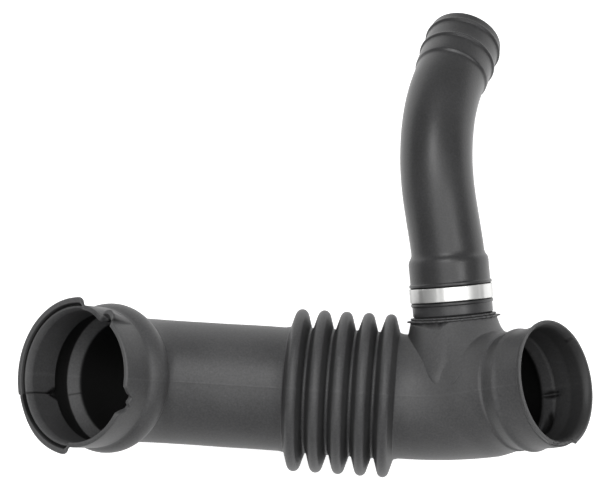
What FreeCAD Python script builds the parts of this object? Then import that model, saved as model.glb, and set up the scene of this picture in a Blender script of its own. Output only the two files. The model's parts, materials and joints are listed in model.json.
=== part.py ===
"""Air intake hose of a small car engine, as it lies on a bench.

A moulded main duct has a cup at each end, five bellows folds and a tee stub. A bent branch hose is
pushed onto the stub, and a crimped metal ring holds it there. Millimetres. +X runs along the straight
tube towards the tee, +Y towards the branch hose, +Z up from the surface that the hose lies on. The
origin is the middle of the underside of the whole hose's box.
"""
import FreeCAD, Part
import math
import os

V = FreeCAD.Vector

# Straight tube along X, with the middle of the bellows as the working origin
tube_od = 70.0
tube_wall = 2.8
left_reach = 111.5
right_reach = 61.0

# Bellows
folds = 5
fold_pitch = 12.5
valley_rise = 1.2
fold_height = 9.6
crest_round = 3.2
valley_round = 2.2
bellows_wall = 2.4

# Bends of the duct: the turn off the tube's line, and the roll of the bend's plane from +Z to +Y
left_turn = 58.0
left_roll = -0.6
left_bend_radius = 40.0
right_turn = 38.1
right_roll = 16.3
right_bend_radius = 75.0

# Left cup, lengths along its own axis from the end of the bend
left_cup_length = 35.5
left_socket_bore = 70.8
left_socket_start = 15.0
left_socket_wall = 3.1
left_foot_rise = 4.2
left_foot_length = 2.4
left_bulge_rise = 6.5
left_bulge_middle = 10.0
left_bulge_end = 17.0
left_ledge_start = 1.0
left_ledge_length = 2.8
left_ledge_height = 5.0

# Half flange on the far side of the left cup, with the lead-in chamfer and the lug across its gap
flange_height = 4.7
flange_thickness = 3.4
flange_overhang = 1.5
flange_start = 73.0
flange_sweep = 189.0
lead_in_length = 5.0
lead_in_depth = 2.2
lug_height = 3.5
lug_gap = 12.0
lug_sweep = 6.0

# Right cup, lengths along its own axis from the end of the bend
right_cup_length = 44.6
right_socket_bore = 60.2
right_socket_start = 23.0
right_socket_wall = 2.4
right_step_height = 0.7
right_neck_length = 15.0
right_neck_wall = 3.2
right_crest_middle = 21.0
right_crest_height = 1.3
right_seat_start = 26.0
right_flare_start = 39.0
right_flare_height = 2.0
right_flare_depth = 2.2
right_lip_width = 1.4

# Tee stub: its line from the tube's middle, and the stop collar and spigot along it
stub_place = 66.0
stub_heading = -8.2
stub_rise = 5.7
tee_inset = 1.5
tee_depth = 6.3
stub_od = 48.0
stub_wall = 2.8
collar_od = 50.4
collar_thickness = 2.6
stub_height = 12.6
spigot_length = 26.0
spigot_wall = 2.4

# Branch hose: wall, headings and rises of its runs, and their bends
branch_od = 40.7
branch_wall = 2.9
run_heading = -12.1
run_rise = 4.35
end_heading = 15.5
end_rise = -33.4
first_run = 2.8
first_bend_radius = 60.0
second_run = 67.2
second_bend_radius = 95.0

# Lower cuff on the spigot, lengths along the stub from the collar
cuff_length = 31.8
cuff_shoulder = 1.8
cuff_od = 44.8
cuff_wall = 2.6
cuff_chamfer = 0.8
rib_od = 46.4
low_rib_middle = 6.9
rib_width = 1.8
spigot_clearance = 0.1

# Crimped ring between the ribs of the lower cuff
ring_width = 7.8
ring_thickness = 0.9
ring_side_gap = 0.5
ring_flats = 12
ring_flat_depth = 0.22

# End cuff of the branch hose, lengths from the end of its bend
end_shoulder_start = 3.4
end_shoulder = 1.8
end_cuff_od = 42.8
end_cuff_length = 36.0
end_rib_od = 45.0
end_rib_start = 16.3
end_rib_pitch = 12.3
end_rib_count = 2
end_rib_width = 2.2
end_socket_bore = 36.4
end_socket_start = 12.0
end_mouth_chamfer = 1.0

# Sizes that follow from those above
tube_bore = tube_od - 2 * tube_wall
valley_od = tube_od + 2 * valley_rise
crest_od = valley_od + 2 * fold_height
left_seat_od = left_socket_bore + 2 * left_socket_wall
left_bulge_od = tube_od + 2 * left_bulge_rise
right_seat_od = right_socket_bore + 2 * right_socket_wall
right_throat_bore = right_socket_bore - 2 * right_step_height
right_neck_od = right_throat_bore + 2 * right_neck_wall
collar_top = tube_od / 2 + stub_height
neck_top = collar_top - collar_thickness
cuff_socket = cuff_od - 2 * cuff_wall
spigot_od = cuff_socket - 2 * spigot_clearance
spigot_bore = spigot_od - 2 * spigot_wall
branch_bore = branch_od - 2 * branch_wall
ring_od = cuff_od + 2 * ring_thickness
ring_start = low_rib_middle + rib_width / 2 + ring_side_gap
high_rib_middle = ring_start + ring_width + ring_side_gap + rib_width / 2


def heading(turn_to_x, rise):
    """Unit vector that starts along +Y, turns towards +X, then rises towards +Z, in degrees."""
    a = math.radians(turn_to_x)
    e = math.radians(rise)
    return V(math.sin(a) * math.cos(e), math.cos(a) * math.cos(e), math.sin(e))


def bent(line, turn, roll):
    """Unit vector along or against X turned up by a bend whose plane is rolled about X."""
    t = math.radians(turn)
    r = math.radians(roll)
    return line * math.cos(t) + V(0, math.sin(r), math.cos(r)) * math.sin(t)


def outline(parts):
    """Closed face from corner points in order, where a tuple of two points is an arc's middle and end."""
    edges = []
    here = parts[0]
    for part in parts[1:] + [parts[0]]:
        if isinstance(part, tuple):
            edges.append(Part.Arc(here, part[0], part[1]).toShape())
            here = part[1]
        elif here.distanceToPoint(part) > 1e-6:
            edges.append(Part.LineSegment(here, part).toShape())
            here = part
    return Part.Face(Part.Wire(edges))


def placed(shape, base, along):
    """Shape drawn along X, set along a direction from a point, with its own +Z still the upper side."""
    turn = FreeCAD.Rotation(along, V(0, 0, 0), V(0, 0, 1), "XZY")
    moved = shape.copy()
    moved.Placement = FreeCAD.Placement(base, turn).multiply(moved.Placement)
    return moved


def point(along, diameter):
    """Point of a turned outline: its place along the axis X and the diameter there."""
    return V(along, 0, diameter / 2)


def turned(parts, sweep=360.0):
    """Solid turned about X from an outline in the plane of X and Z, starting at +Z."""
    return outline(parts).revolve(V(0, 0, 0), V(1, 0, 0), sweep)


def bend(corner, come, leave, radius, diameter):
    """Round bar of a bend between two directions that meet at a corner."""
    turn = come.getAngle(leave)
    start = corner - come * (radius * math.tan(turn / 2))
    axis = come.cross(leave)
    axis.normalize()
    center = start + axis.cross(come) * radius
    disc = Part.Face(Part.Wire(Part.makeCircle(diameter / 2, start, come)))
    return disc.revolve(center, axis, math.degrees(turn))


def bend_setback(turn, radius):
    """Length that a bend takes from each of its two runs."""
    return radius * math.tan(math.radians(turn) / 2)


def fused(shapes):
    """One solid from pieces of one moulding."""
    return shapes[0].fuse(shapes[1:]).removeSplitter()


def bellows_outline(crest, valley, round_out, round_in):
    """Wavy upper edge of the bellows as outline parts: round crests and valleys with straight flanks.

    Each flank is the inner tangent of a crest's circle and the next valley's circle.
    """
    crest_mid = crest / 2 - round_out
    valley_mid = valley / 2 + round_in
    step = fold_pitch / 2
    rise = crest_mid - valley_mid
    gap = math.hypot(step, rise)
    lean = math.atan2(rise, step) + math.asin((round_out + round_in) / gap)
    out_x = round_out * math.sin(lean)
    out_z = round_out * math.cos(lean)
    in_x = round_in * math.sin(lean)
    in_z = round_in * math.cos(lean)
    parts = []
    for fold in range(folds):
        middle = (fold - (folds - 1) / 2) * fold_pitch
        left = middle - step
        right = middle + step
        if fold == 0:
            parts.append(V(left, 0, valley / 2))
        parts.append((V(left + round_in * math.sin(lean / 2), 0, valley_mid - round_in * math.cos(lean / 2)),
                      V(left + in_x, 0, valley_mid - in_z)))
        parts.append(V(middle - out_x, 0, crest_mid + out_z))
        parts.append((V(middle, 0, crest / 2), V(middle + out_x, 0, crest_mid + out_z)))
        parts.append(V(right - in_x, 0, valley_mid - in_z))
        parts.append((V(right - round_in * math.sin(lean / 2), 0, valley_mid - round_in * math.cos(lean / 2)),
                      V(right, 0, valley / 2)))
    return parts


def straight_tube(diameter, bellows):
    """Straight tube with the bellows, from the left bend to the right one."""
    left = -left_reach + bend_setback(left_turn, left_bend_radius)
    right = right_reach - bend_setback(right_turn, right_bend_radius)
    ends = [V(left, 0, 0), V(left, 0, diameter / 2), V(bellows[0].x, 0, diameter / 2)]
    far = bellows[-1][1]
    return turned(ends + bellows + [V(far.x, 0, diameter / 2), V(right, 0, diameter / 2), V(right, 0, 0)])


def left_cup_outside():
    """Outside of the left cup: foot, round bulge and the seat of its clamp."""
    return turned([
        V(0, 0, 0),
        point(0, tube_od),
        point(left_foot_length, tube_od + 2 * left_foot_rise),
        (point(left_bulge_middle, left_bulge_od), point(left_bulge_end, left_seat_od)),
        point(left_cup_length, left_seat_od),
        V(left_cup_length, 0, 0),
    ])


def left_cup_inside():
    """Hollow of the left cup: throat, stop ledge, hollow of the bulge and the socket."""
    bulge_bore = left_bulge_od - 2 * left_socket_wall
    end = left_cup_length + flange_overhang + flange_thickness
    return turned([
        V(0, 0, 0),
        point(0, tube_bore),
        point(left_ledge_start, tube_bore),
        point(left_ledge_start + left_ledge_length, tube_bore + 2 * left_ledge_height),
        (point(left_bulge_middle - left_foot_length / 2, bulge_bore), point(left_socket_start, left_socket_bore)),
        point(end, left_socket_bore),
        V(end, 0, 0),
    ])


def half_flange():
    """Lip of the far half of the left cup and its lug, and the cutter of the lead-in chamfer."""
    end = left_cup_length + flange_overhang
    root = end - flange_thickness
    flange_od = left_seat_od + 2 * flange_height
    lug_od = left_seat_od + 2 * lug_height
    mouth = left_socket_bore + 2 * lead_in_depth
    lip = turned([
        point(root, left_socket_bore + left_socket_wall),
        point(root, left_seat_od),
        (point(root + flange_thickness / 4, flange_od - left_socket_wall / 2),
         point(root + flange_thickness / 2, flange_od)),
        (point(end - flange_thickness / 8, flange_od - flange_thickness / 4),
         point(end, flange_od - flange_thickness)),
        point(end, mouth),
        point(root, left_socket_bore + left_socket_wall / 2),
    ], flange_sweep)
    lip.rotate(V(0, 0, 0), V(1, 0, 0), flange_start)
    chamfer = turned([
        point(end - lead_in_length, left_socket_bore - lead_in_depth),
        point(end - lead_in_length, left_socket_bore),
        point(end, mouth),
        point(end + flange_thickness, mouth),
        point(end + flange_thickness, left_socket_bore - lead_in_depth),
    ], flange_sweep)
    chamfer.rotate(V(0, 0, 0), V(1, 0, 0), flange_start)
    lug = turned([
        point(root, left_seat_od - left_socket_wall),
        point(root, lug_od),
        point(left_cup_length, lug_od),
        point(left_cup_length, left_seat_od - left_socket_wall),
    ], lug_sweep)
    lug.rotate(V(0, 0, 0), V(1, 0, 0), flange_start - lug_gap - lug_sweep)
    return lip, chamfer, lug


def right_cup_outside():
    """Outside of the right cup: taper to the neck, low crest, seat of its clamp and the flared rim."""
    flare_od = right_seat_od + 2 * right_flare_height
    flare_end = right_cup_length - right_lip_width
    return turned([
        V(0, 0, 0),
        point(0, tube_od),
        point(right_neck_length, right_neck_od),
        (point(right_crest_middle, right_neck_od + 2 * right_crest_height),
         point(right_seat_start, right_seat_od)),
        point(right_flare_start, right_seat_od),
        (point((right_flare_start + flare_end) / 2, (right_seat_od * 2 + flare_od) / 3),
         point(flare_end, flare_od)),
        point(right_cup_length, flare_od),
        V(right_cup_length, 0, 0),
    ])


def right_cup_inside():
    """Hollow of the right cup: throat, step, socket and the flare of its mouth."""
    return turned([
        V(0, 0, 0),
        point(0, tube_bore),
        point(right_neck_length, right_throat_bore),
        point(right_socket_start, right_throat_bore),
        point(right_socket_start, right_socket_bore),
        point(right_flare_start, right_socket_bore),
        point(right_cup_length, right_socket_bore + 2 * right_flare_depth),
        V(right_cup_length, 0, 0),
    ])


def stub_line():
    """Root and direction of the tee stub."""
    return V(stub_place, 0, 0), heading(stub_heading, stub_rise)


def tee(shrink):
    """Round tapered neck of the tee, from inside the right bend to the stop collar."""
    root, along = stub_line()
    low = root + V(0, 0, tee_depth)
    high = root + along * neck_top
    lean = high - low
    lean.normalize()
    wide = Part.Wire(Part.makeCircle(tube_od / 2 - tee_inset - shrink, low, lean))
    narrow = Part.Wire(Part.makeCircle(stub_od / 2 - shrink, high, along))
    return Part.makeLoft([wide, narrow], True, True)


def stub_outside():
    """Stop collar and spigot of the stub, along X from the root."""
    return turned([
        V(neck_top, 0, 0),
        point(neck_top, collar_od),
        point(collar_top, collar_od),
        point(collar_top, spigot_od),
        point(collar_top + spigot_length, spigot_od),
        V(collar_top + spigot_length, 0, 0),
    ])


def stub_inside():
    """Hollow of the stub above its neck, along X from the root."""
    return turned([
        V(neck_top, 0, 0),
        point(neck_top, stub_od - 2 * stub_wall),
        point(collar_top, spigot_bore),
        point(collar_top + spigot_length, spigot_bore),
        V(collar_top + spigot_length, 0, 0),
    ])


def main_hose():
    """The whole moulded duct: bellows tube, two bends, two cups and the tee stub."""
    left_corner = V(-left_reach, 0, 0)
    right_corner = V(right_reach, 0, 0)
    left_way = bent(V(-1, 0, 0), left_turn, left_roll)
    right_way = bent(V(1, 0, 0), right_turn, right_roll)
    left_start = left_corner + left_way * bend_setback(left_turn, left_bend_radius)
    right_start = right_corner + right_way * bend_setback(right_turn, right_bend_radius)
    root, along = stub_line()
    inner_bellows = bellows_outline(crest_od - 2 * bellows_wall, valley_od - 2 * bellows_wall,
                                    crest_round - bellows_wall, valley_round + bellows_wall)
    outer_bellows = bellows_outline(crest_od, valley_od, crest_round, valley_round)
    lip, chamfer, lug = half_flange()
    outside = fused([
        straight_tube(tube_od, outer_bellows),
        bend(left_corner, V(-1, 0, 0), left_way, left_bend_radius, tube_od),
        bend(right_corner, V(1, 0, 0), right_way, right_bend_radius, tube_od),
        placed(left_cup_outside(), left_start, left_way),
        placed(right_cup_outside(), right_start, right_way),
        tee(0),
        placed(stub_outside(), root, along),
    ])
    hollow = fused([
        straight_tube(tube_bore, inner_bellows),
        bend(left_corner, V(-1, 0, 0), left_way, left_bend_radius, tube_bore),
        bend(right_corner, V(1, 0, 0), right_way, right_bend_radius, tube_bore),
        placed(left_cup_inside(), left_start, left_way),
        placed(right_cup_inside(), right_start, right_way),
        tee(stub_wall),
        placed(stub_inside(), root, along),
    ])
    duct = outside.cut(hollow).cut(placed(chamfer, left_start, left_way))
    return fused([duct, placed(lip, left_start, left_way), placed(lug, left_start, left_way)])


def rib(middle, width, root_od, top_od):
    """Half-round rib of a cuff, along X."""
    return turned([
        point(middle - width / 2, root_od),
        (point(middle, top_od), point(middle + width / 2, root_od)),
    ])


def lower_cuff_outside():
    """Outside of the lower cuff along X from its end face, without its ribs."""
    return turned([
        V(0, 0, 0),
        point(0, cuff_od - 2 * cuff_chamfer),
        point(cuff_chamfer, cuff_od),
        point(cuff_length, cuff_od),
        point(cuff_length + cuff_shoulder, branch_od),
        V(cuff_length + cuff_shoulder, 0, 0),
    ])


def lower_cuff_inside():
    """Hollow of the lower cuff along X: the socket over the spigot, then the hose's bore."""
    return turned([
        V(0, 0, 0),
        point(0, cuff_socket),
        point(spigot_length, cuff_socket),
        point(cuff_length + cuff_shoulder, branch_bore),
        V(cuff_length + cuff_shoulder, 0, 0),
    ])


def end_cuff_outside():
    """Outside of the end cuff along X from the end of the bend, without its ribs."""
    return turned([
        V(0, 0, 0),
        point(0, branch_od),
        point(end_shoulder_start, branch_od),
        point(end_shoulder_start + end_shoulder, end_cuff_od),
        point(end_cuff_length - end_mouth_chamfer, end_cuff_od),
        point(end_cuff_length, end_cuff_od - 2 * end_mouth_chamfer),
        V(end_cuff_length, 0, 0),
    ])


def end_cuff_inside():
    """Hollow of the end cuff along X: the hose's bore, then the socket and its chamfered mouth."""
    return turned([
        V(0, 0, 0),
        point(0, branch_bore),
        point(end_socket_start - (end_socket_bore - branch_bore), branch_bore),
        point(end_socket_start, end_socket_bore),
        point(end_cuff_length - end_mouth_chamfer, end_socket_bore),
        point(end_cuff_length, end_socket_bore + 2 * end_mouth_chamfer),
        V(end_cuff_length, 0, 0),
    ])


def run_bar(start, finish, diameter):
    """Round bar between two points."""
    return Part.makeCylinder(diameter / 2, start.distanceToPoint(finish), start, finish - start)


def branch_hose():
    """The bent branch hose with a ribbed cuff at each end."""
    root, along = stub_line()
    run_way = heading(run_heading, run_rise)
    end_way = heading(end_heading, end_rise)
    seat = root + along * collar_top
    cuff_top = seat + along * (cuff_length + cuff_shoulder)
    corner = cuff_top + along * first_run
    corner_two = corner + run_way * second_run
    first_setback = bend_setback(math.degrees(along.getAngle(run_way)), first_bend_radius)
    second_setback = bend_setback(math.degrees(run_way.getAngle(end_way)), second_bend_radius)
    end_start = corner_two + end_way * second_setback

    def bars(diameter):
        return [
            run_bar(cuff_top, corner - along * first_setback, diameter),
            bend(corner, along, run_way, first_bend_radius, diameter),
            run_bar(corner + run_way * first_setback, corner_two - run_way * second_setback, diameter),
            bend(corner_two, run_way, end_way, second_bend_radius, diameter),
        ]

    ribs = [placed(rib(middle, rib_width, cuff_od, rib_od), seat, along)
            for middle in (low_rib_middle, high_rib_middle)]
    for count in range(end_rib_count):
        middle = end_rib_start + end_rib_width / 2 + count * end_rib_pitch
        ribs.append(placed(rib(middle, end_rib_width, end_cuff_od, end_rib_od), end_start, end_way))
    outside = fused(bars(branch_od) + [placed(lower_cuff_outside(), seat, along),
                                       placed(end_cuff_outside(), end_start, end_way)] + ribs)
    hollow = fused(bars(branch_bore) + [placed(lower_cuff_inside(), seat, along),
                                                        placed(end_cuff_inside(), end_start, end_way)])
    return outside.cut(hollow)


def crimp_ring():
    """Seamless metal ring pressed onto the lower cuff, with a row of shallow flats from its jaws."""
    root, along = stub_line()
    seat = root + along * collar_top
    ring = turned([
        point(ring_start, cuff_od),
        point(ring_start, ring_od),
        point(ring_start + ring_width, ring_od),
        point(ring_start + ring_width, cuff_od),
    ])
    reach = (ring_od / 2 - ring_flat_depth) / math.cos(math.pi / ring_flats)
    corners = []
    for count in range(ring_flats + 1):
        angle = 2 * math.pi * (count + 0.5) / ring_flats
        corners.append(V(ring_start, reach * math.sin(angle), reach * math.cos(angle)))
    jaws = Part.Face(Part.makePolygon(corners)).extrude(V(ring_width, 0, 0))
    return placed(ring.common(jaws), seat, along)


def seated(shapes):
    """Move all the pieces so that the origin is the middle of the underside of their common box."""
    box = FreeCAD.BoundBox()
    for shape in shapes.values():
        box.add(shape.optimalBoundingBox(False, False))
    shift = V(-box.Center.x, -box.Center.y, -box.ZMin)
    return {name: shape.Solids[0].translated(shift) for name, shape in shapes.items()}, shift


def main():
    """Build the pieces, write each as a STEP file and return them with their shift."""
    pieces, shift = seated({
        "main_hose": main_hose(),
        "branch_hose": branch_hose(),
        "crimp_ring": crimp_ring(),
    })
    os.makedirs("parts", exist_ok=True)
    for name, shape in pieces.items():
        shape.exportStep("parts/" + name + ".step")
    return pieces, shift


if __name__ == "__main__":
    main()
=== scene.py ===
"""Looks of the air intake hose: the moulded duct, its tee, the branch hose and the crimped band.

The pieces are closed surfaces: a wall's outline, given as stations along a bent line and radii, is
carried round that line. Lengths are in millimetres in the hose's own frame, whose origin is the middle
of the bellows, with X along the tube, Y towards the branch hose and Z up. They become metres in the
row frame when a mesh is made.
"""

import json
import math

import bpy
import numpy as np
from mathutils import Matrix


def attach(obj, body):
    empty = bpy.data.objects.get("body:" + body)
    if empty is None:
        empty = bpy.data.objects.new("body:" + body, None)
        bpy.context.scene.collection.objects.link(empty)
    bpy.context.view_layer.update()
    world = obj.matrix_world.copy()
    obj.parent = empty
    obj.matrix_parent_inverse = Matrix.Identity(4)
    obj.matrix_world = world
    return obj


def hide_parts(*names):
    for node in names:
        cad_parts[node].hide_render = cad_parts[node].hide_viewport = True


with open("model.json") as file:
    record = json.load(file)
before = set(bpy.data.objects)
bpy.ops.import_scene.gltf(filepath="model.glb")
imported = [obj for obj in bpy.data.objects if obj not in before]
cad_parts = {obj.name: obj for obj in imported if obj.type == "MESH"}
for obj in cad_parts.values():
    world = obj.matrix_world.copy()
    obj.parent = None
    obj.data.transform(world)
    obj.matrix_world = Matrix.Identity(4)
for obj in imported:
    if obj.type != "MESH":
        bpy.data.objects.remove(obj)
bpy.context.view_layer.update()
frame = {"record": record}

MM = 0.001
X, Y, Z = np.eye(3)

# Duct, with the same sizes as its solid
tube_radius = 35.0
tube_bore = 32.2
left_reach = 111.5
right_reach = 61.0
left_bend_radius = 40.0
right_bend_radius = 75.0
left_cup_length = 35.5
right_cup_length = 44.6
fold_count = 5
fold_pitch = 12.5
crest_radius = 45.8
valley_radius = 35.5
crest_round = 3.1
valley_round = 1.1
bellows_wall = 2.4

# Tee stub
stub_place = 66.0
stub_heading = -8.2
stub_rise = 5.7
tee_radius = 36.3
tee_depth = 8.0
tee_wall = 1.6
tee_end = 0.80
tee_columns = 192
stub_radius = 24.0
neck_top = 45.0
collar_top = 47.6
spigot_root = 40.0
spigot_length = 26.0
spigot_radius = 19.7
spigot_bore = 17.3

# Branch hose
run_heading = -12.1
run_rise = 4.35
end_heading = 15.5
end_rise = -33.4
first_corner = 84.0
second_corner = 67.2
first_bend_radius = 60.0
second_bend_radius = 95.0
end_cuff_length = 36.0
branch_bore = 17.45
branch_columns = 160

# Crimped band on the lower cuff
band_start = 8.3
band_width = 7.8
band_radius = 23.3
band_bore = 22.4
band_flats = 12
band_flat_depth = 0.08
band_turn = math.radians(15.0)


def unit(vector):
    """Vector of length one along the same way."""
    return vector / np.linalg.norm(vector, axis=-1, keepdims=True)


def heading(turn, rise):
    """Unit vector that starts along Y, turns towards X and then rises towards Z, in degrees."""
    a, e = math.radians(turn), math.radians(rise)
    return np.array([math.sin(a) * math.cos(e), math.cos(a) * math.cos(e), math.sin(e)])


def swung(vector, axis, angle):
    """Vector turned about a unit axis: its part along the axis stays and the rest turns by the angle."""
    c, s = np.cos(angle)[..., None], np.sin(angle)[..., None]
    along_axis = np.sum(vector * axis, axis=-1, keepdims=True)
    return vector * c + np.cross(axis, vector) * s + axis * along_axis * (1 - c)


def smooth_step(value, start, end):
    """0 before start, 1 after end, and a smooth S between them."""
    t = np.clip((value - start) / (end - start), 0, 1)
    return t * t * (3 - 2 * t)


def hump(value, middle, half_width):
    """1 at the middle, falling smoothly to 0 at half a width either side."""
    return 1 - smooth_step(np.abs(value - middle), 0, half_width)


def bent_line(corners, radii, side, leg):
    """Line through corners with its inner corners rounded, as a list of stretches.

    A stretch holds its first station, first point, way, side vector, and for a bend its axis and
    radius. The side vector is given on one leg, and each bend turns it as it turns the way.
    """
    ways = unit(np.diff(corners, axis=0))
    axes = unit(np.cross(ways[:-1], ways[1:]))
    turns = np.arccos(np.sum(ways[:-1] * ways[1:], axis=1))
    setbacks = np.concatenate([[0], radii * np.tan(turns / 2), [0]])
    sides = {leg: side}
    for k in range(leg, len(axes)):
        sides[k + 1] = swung(sides[k], axes[k], turns[k])
    for k in range(leg - 1, -1, -1):
        sides[k] = swung(sides[k + 1], axes[k], -turns[k])
    stretches = []
    station = 0.0
    for k, way in enumerate(ways):
        first = corners[k] + way * setbacks[k]
        length = np.linalg.norm(corners[k + 1] - corners[k]) - setbacks[k] - setbacks[k + 1]
        stretches.append((station, first, way, sides[k], None, 0.0))
        station += length
        if k < len(axes):
            stretches.append((station, first + way * length, way, sides[k], axes[k], radii[k]))
            station += radii[k] * turns[k]
    return stretches


def along(line, station):
    """Centre, side and cross vectors of a bent line at stations.

    On a run the centre moves by way times distance. On a bend everything turns about the bend's axis
    by distance over radius.
    """
    station = np.asarray(station, dtype=float)
    centre = np.zeros(station.shape + (3,))
    side = np.zeros_like(centre)
    cross = np.zeros_like(centre)
    for first_station, first, way, first_side, axis, radius in line:
        here = (station >= first_station) if first_station > 0 else np.ones(station.shape, bool)
        distance = station[here] - first_station
        first_cross = np.cross(first_side, way)
        if axis is None:
            centre[here] = first + way * distance[:, None]
            side[here] = first_side
            cross[here] = first_cross
        else:
            hub = first + np.cross(axis, way) * radius
            centre[here] = hub + swung(first - hub, axis, distance / radius)
            side[here] = swung(first_side, axis, distance / radius)
            cross[here] = swung(first_cross, axis, distance / radius)
    return centre, side, cross


def carried(line, station, radius, angle):
    """Surface point: the line's centre plus radius times cos(angle) side plus sin(angle) cross."""
    station, radius, angle = np.broadcast_arrays(station, radius, angle)
    centre, side, cross = along(line, station)
    return centre + radius[..., None] * (np.cos(angle)[..., None] * side + np.sin(angle)[..., None] * cross)


def arc_through(first, middle, last, count):
    """Points of the circle arc through three points, evenly spaced by angle, without the first."""
    a, b, c = (complex(*p) for p in (first, middle, last))
    w = (c - a) / (b - a)
    hub = a + (b - a) * (w - abs(w) ** 2) / (2j * w.imag)
    radius = abs(a - hub)
    start = np.angle(a - hub)
    sweep = np.angle((c - hub) / (a - hub))
    if np.sign(sweep) != np.sign(np.angle((b - hub) / (a - hub))):
        sweep -= 2 * math.pi * np.sign(sweep)
    turn = start + sweep * np.arange(1, count + 1) / count
    return np.stack([hub.real + radius * np.cos(turn), hub.imag + radius * np.sin(turn)], axis=1)


def softened(keys, steps):
    """Outline through keys (x, y, rounding) with each inner corner replaced by a quadratic curve.

    The curve starts and ends the rounding away from the corner and has the corner as its control point.
    """
    keys = np.asarray(keys, dtype=float)
    spots, roundings = keys[:, :2], keys[1:-1, 2:]
    before = spots[1:-1] + unit(spots[:-2] - spots[1:-1]) * roundings
    after = spots[1:-1] + unit(spots[2:] - spots[1:-1]) * roundings
    t = np.linspace(0, 1, steps)[None, :, None]
    curves = (1 - t) ** 2 * before[:, None] + 2 * t * (1 - t) * spots[1:-1, None] + t * t * after[:, None]
    return np.concatenate([spots[:1], curves.reshape(-1, 2), spots[-1:]])


def divided(points, longest):
    """Outline with its long pieces cut into equal shorter ones."""
    lengths = np.linalg.norm(np.diff(points, axis=0), axis=1)
    pieces = np.maximum(1, np.ceil(lengths / longest)).astype(int)
    piece = np.repeat(np.arange(len(pieces)), pieces)
    share = (np.arange(len(piece)) - np.repeat(np.cumsum(pieces) - pieces, pieces)) / pieces[piece]
    inner = points[piece] + (points[piece + 1] - points[piece]) * share[:, None]
    return np.concatenate([inner, points[-1:]])


def fold_edge(crest, valley, round_out, round_in, steps):
    """One bellows fold from valley to valley: two arcs joined by their inner tangents, mirrored."""
    half = fold_pitch / 2
    rise = (crest - round_out) - (valley + round_in)
    lean = math.atan2(rise, half) + math.asin((round_out + round_in) / math.hypot(half, rise))
    t = np.linspace(0, lean, steps)
    low = np.stack([-half + round_in * np.sin(t), valley + round_in - round_in * np.cos(t)], axis=1)
    t = t[::-1]
    high = np.stack([-round_out * np.sin(t), crest - round_out + round_out * np.cos(t)], axis=1)
    left = np.concatenate([low, high])
    return np.concatenate([left, left[-2:0:-1] * [-1, 1]])


def bellows_edge(crest, valley, round_out, round_in, steps):
    """All the folds side by side, each one pitch further along."""
    fold = fold_edge(crest, valley, round_out, round_in, steps)
    places = (np.arange(fold_count) - (fold_count - 1) / 2) * fold_pitch
    return np.concatenate([fold + [place, 0] for place in places])


def ripple(station, angle, reach):
    """Slight unevenness of a moulded wall: a few long waves along and round it, added up."""
    waves = (np.sin(station / 7.3 + 3 * angle) + np.sin(station / 11.9 - 2 * angle + 1.3)
             + np.sin(station / 4.7 + 5 * angle + 0.4) + np.sin(2 * angle + 2.1))
    return reach * waves / 4


def grid_faces(rows, columns):
    """Corner numbers of the quads of a grid that closes round both its rows and its columns."""
    number = np.arange(rows * columns).reshape(rows, columns)
    right = np.roll(number, -1, axis=1)
    quads = np.stack([number, right, np.roll(right, -1, axis=0), np.roll(number, -1, axis=0)], axis=-1)
    return quads.reshape(-1, 4)


def origin_of_hose():
    """Middle of the bellows in the row frame: where the two cups' axes meet the tube's line.

    The tube's line has one y and one z. Both cups' axes pass through it, which gives two equations
    for the distances from the mounts, and the right cup's meeting point gives x.
    """
    mounts = {mount["name"]: mount for mount in frame["record"]["mounts"]}
    left = np.array(mounts["left_socket"]["pos_m"]) / MM
    right = np.array(mounts["right_socket"]["pos_m"]) / MM
    left_way = unit(np.array(mounts["left_socket"]["axis"]))
    right_way = unit(np.array(mounts["right_socket"]["axis"]))
    sides = np.stack([left_way[1:], -right_way[1:]], axis=1)
    back = np.linalg.solve(sides, left[1:] - right[1:])
    corner = right - right_way * back[1]
    return corner - X * right_reach, left_way, right_way


hose_origin, left_way, right_way = origin_of_hose()


def add_piece(name, points, faces, material, node, masks):
    """Mesh piece from points in the hose's frame, with its faces turned outwards, riding on the root."""
    corners = points[faces]
    volume = np.einsum("ij,ij->", corners[:, 0], np.cross(corners[:, 1], corners[:, 2]))
    volume += np.einsum("ij,ij->", corners[:, 0], np.cross(corners[:, 2], corners[:, 3]))
    if volume < 0:
        faces = faces[:, ::-1]
    mesh = bpy.data.meshes.new(name)
    mesh.vertices.add(len(points))
    mesh.vertices.foreach_set("co", ((points + hose_origin) * MM).astype(np.float32).ravel())
    mesh.loops.add(faces.size)
    mesh.loops.foreach_set("vertex_index", faces.astype(np.int32).ravel())
    mesh.polygons.add(len(faces))
    mesh.polygons.foreach_set("loop_start", np.arange(0, faces.size, 4, dtype=np.int32))
    mesh.polygons.foreach_set("use_smooth", np.ones(len(faces), dtype=bool))
    mesh.update(calc_edges=True)
    mesh.validate()
    for label, values in masks.items():
        layer = mesh.attributes.new(label, "FLOAT", "POINT")
        layer.data.foreach_set("value", np.asarray(values, dtype=np.float32).ravel())
    mesh.materials.append(material)
    piece = bpy.data.objects.new(name, mesh)
    bpy.context.collection.objects.link(piece)
    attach(piece, "root")
    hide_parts(node)
    return piece


def spaced_angles(count, crowded):
    """Angles round a wall, closer together at the crowded places (degrees, half width, how much)."""
    fine = np.linspace(0, 360, 7201)
    density = np.ones_like(fine)
    for middle, half_width, more in crowded:
        away = np.abs((fine - middle + 180) % 360 - 180)
        density += more * np.exp(-(away / half_width) ** 2)
    total = np.concatenate([[0], np.cumsum((density[1:] + density[:-1]) / 2)])
    return np.interp(np.arange(count) / count * total[-1], total, fine)


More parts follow.
